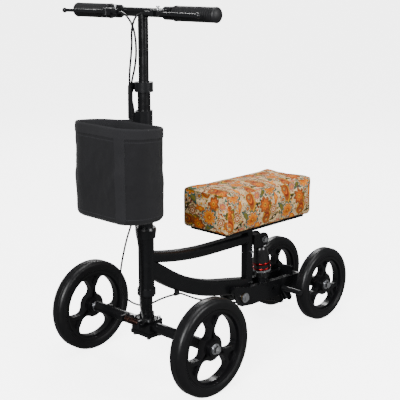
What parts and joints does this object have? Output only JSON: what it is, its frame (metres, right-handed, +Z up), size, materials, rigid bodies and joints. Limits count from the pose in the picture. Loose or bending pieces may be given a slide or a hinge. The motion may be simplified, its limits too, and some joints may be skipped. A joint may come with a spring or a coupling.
{
  "type": "knee scooter",
  "caption": "Steerable knee scooter with a padded knee rest, front basket, folding telescopic column, hand brakes and sprung rear swing arm.",
  "frame": {"origin": "on the floor, under the middle of the scooter's outline", "axes": "+Z up, the scooter faces -Y, +X is the rider's left"},
  "size_m": [0.516, 0.906, 0.9425],
  "materials": {
    "black_frame": "satin black paint",
    "satin_metal": "semi-gloss black",
    "bright_steel": "polished zinc and steel",
    "bearing_steel": "ground steel",
    "tyre_rubber": "matte",
    "wheel_plastic": "gloss",
    "grip_rubber": "soft ribbed",
    "basket_cloth": "woven nylon",
    "webbing": "woven webbing",
    "cushion_cover": "padded cotton with a floral print",
    "cable_housing": "satin",
    "shock_can": "gloss with a red band",
    "spring_bronze": "brown coated wire",
    "bush_brass": "plain"
  },
  "bodies": {
    "frame": {"head_tube": "black_frame", "upper_tube": "black_frame", "lower_tube": "black_frame", "seat_tube": "black_frame", "headset_cups": "satin_metal", "headset_bearings": "bearing_steel", "shock_mount": "black_frame", "pivot_tube": "black_frame", "frame_bolts": "bright_steel", "cable_clip": "cable_housing"},
    "steering": {"steerer": "black_frame", "headset_nut": "satin_metal", "fold_base": "black_frame", "axle_clamp": "black_frame", "steering_bolts": "bright_steel", "front_axle_tube": "black_frame", "front_axle": "bright_steel", "front_brake_spring": "spring_bronze", "rear_brake_cable": "cable_housing", "front_brake_cable": "cable_housing"},
    "front_brake_arm": {"front_brake_arm": "satin_metal"},
    "stem": {"outer_stem": "black_frame", "height_clamp": "satin_metal", "basket_bracket": "satin_metal", "basket": "basket_cloth", "basket_straps": "webbing"},
    "fold_lever": {"fold_lever": "bright_steel"},
    "height_lever": {"qr_lever": "satin_metal"},
    "handlebar": {"inner_stem": "black_frame", "handlebar": "black_frame", "left_grip": "grip_rubber", "right_grip": "grip_rubber", "lever_perches": "satin_metal"},
    "left_brake_lever": {"left_brake_lever": "satin_metal"},
    "right_brake_lever": {"right_brake_lever": "satin_metal"},
    "left_lock_button": {"left_lock_button": "bright_steel"},
    "right_lock_button": {"right_lock_button": "bright_steel"},
    "front_left_wheel": {"front_left_tyre": "tyre_rubber", "front_left_wheel": "wheel_plastic", "front_left_bearings": "bearing_steel"},
    "front_right_wheel": {"front_right_tyre": "tyre_rubber", "front_right_wheel": "wheel_plastic", "front_right_bearings": "bearing_steel"},
    "rear_left_wheel": {"rear_left_tyre": "tyre_rubber", "rear_left_wheel": "wheel_plastic", "rear_left_bearings": "bearing_steel"},
    "rear_right_wheel": {"rear_right_tyre": "tyre_rubber", "rear_right_wheel": "wheel_plastic", "rear_right_bearings": "bearing_steel"},
    "swing_arm": {"swing_arm": "black_frame", "pivot_bushes": "bush_brass", "rear_axle": "bright_steel", "shock_bolt": "bright_steel"},
    "rear_brake_bar": {"rear_brake_bar": "satin_metal"},
    "shock_body": {"shock_body": "shock_can", "shock_spring": "bearing_steel"},
    "shock_shaft": {"shock_shaft": "satin_metal"},
    "seat": {"seat_post": "black_frame", "seat_plate": "black_frame", "cushion": "cushion_cover"}
  },
  "joints": [
    {"name": "steering", "type": "hinge", "parent": "frame", "child": "steering", "pos_m": [0, -0.285, 0.3], "axis": [0, 0, 1], "range_deg": [-40, 40], "deforming": ["rear_brake_cable"]},
    {"name": "column_fold", "type": "hinge", "parent": "steering", "child": "stem", "pos_m": [0, -0.256, 0.5], "axis": [-1, 0, 0], "range_deg": [0, 84], "deforming": ["front_brake_cable"]},
    {"name": "handlebar_height", "type": "slide", "parent": "stem", "child": "handlebar", "axis": [0, 0, 1], "range_m": [-0.1, 0.04]},
    {"name": "left_brake", "type": "hinge", "parent": "handlebar", "child": "left_brake_lever", "pos_m": [0.094, -0.321, 0.924], "axis": [0, 0, 1], "range_deg": [0, 10], "stiffness_Nm_per_rad": 2, "springref_deg": -5.73},
    {"name": "right_brake", "type": "hinge", "parent": "handlebar", "child": "right_brake_lever", "pos_m": [-0.094, -0.321, 0.924], "axis": [0, 0, -1], "range_deg": [0, 10], "stiffness_Nm_per_rad": 2, "springref_deg": -5.73},
    {"name": "left_lock", "type": "slide", "parent": "handlebar", "child": "left_lock_button", "axis": [0, 0, -1], "range_m": [0, 0.003], "stiffness_N_per_m": 300, "springref_m": -0.002},
    {"name": "right_lock", "type": "slide", "parent": "handlebar", "child": "right_lock_button", "axis": [0, 0, -1], "range_m": [0, 0.003], "stiffness_N_per_m": 300, "springref_m": -0.002},
    {"name": "front_left_spin", "type": "hinge", "parent": "steering", "child": "front_left_wheel", "pos_m": [0.225, -0.285, 0.125], "axis": [1, 0, 0], "continuous": true},
    {"name": "front_right_spin", "type": "hinge", "parent": "steering", "child": "front_right_wheel", "pos_m": [-0.225, -0.285, 0.125], "axis": [1, 0, 0], "continuous": true},
    {"name": "rear_left_spin", "type": "hinge", "parent": "swing_arm", "child": "rear_left_wheel", "pos_m": [0.091, 0.344, 0.109], "axis": [1, 0, 0], "continuous": true},
    {"name": "rear_right_spin", "type": "hinge", "parent": "swing_arm", "child": "rear_right_wheel", "pos_m": [-0.091, 0.344, 0.109], "axis": [1, 0, 0], "continuous": true},
    {"name": "suspension", "type": "hinge", "parent": "frame", "child": "swing_arm", "pos_m": [0, 0.056, 0.122], "axis": [1, 0, 0], "range_deg": [0, 8], "stiffness_Nm_per_rad": 300, "springref_deg": -11.46},
    {"name": "shock_tilt", "type": "hinge", "parent": "frame", "child": "shock_body", "pos_m": [0, 0.162, 0.268], "axis": [1, 0, 0], "range_deg": [0, 1.2]},
    {"name": "shock_stroke", "type": "slide", "parent": "shock_body", "child": "shock_shaft", "axis": [0, -0.1392, 0.9903], "range_m": [0, 0.0185], "deforming": ["shock_spring"]},
    {"name": "rear_brake", "type": "hinge", "parent": "swing_arm", "child": "rear_brake_bar", "pos_m": [0, 0.248, 0.079], "axis": [-1, 0, 0], "range_deg": [0, 7], "stiffness_Nm_per_rad": 4, "springref_deg": -5.73},
    {"name": "front_brake", "type": "hinge", "parent": "steering", "child": "front_brake_arm", "pos_m": [-0.026, -0.315, 0.145], "axis": [0, 0, 1], "range_deg": [0, 10], "stiffness_Nm_per_rad": 1, "springref_deg": -5.73, "deforming": ["front_brake_spring"]},
    {"name": "height_quick_release", "type": "hinge", "parent": "stem", "child": "height_lever", "pos_m": [-0.027, -0.302, 0.744], "axis": [-1, 0, 0], "range_deg": [0, 100]},
    {"name": "fold_quick_release", "type": "hinge", "parent": "steering", "child": "fold_lever", "pos_m": [-0.024, -0.256, 0.5], "axis": [0, 1, 0], "range_deg": [0, 100]},
    {"name": "seat_height", "type": "slide", "parent": "frame", "child": "seat", "axis": [0, 0, 1], "range_m": [0, 0.06]}
  ],
  "couplings": [
    {"joint": "shock_tilt", "follows": "suspension", "ratio": 0.1},
    {"joint": "shock_stroke", "follows": "suspension", "m_per_rad": 0.1264}
  ]
}
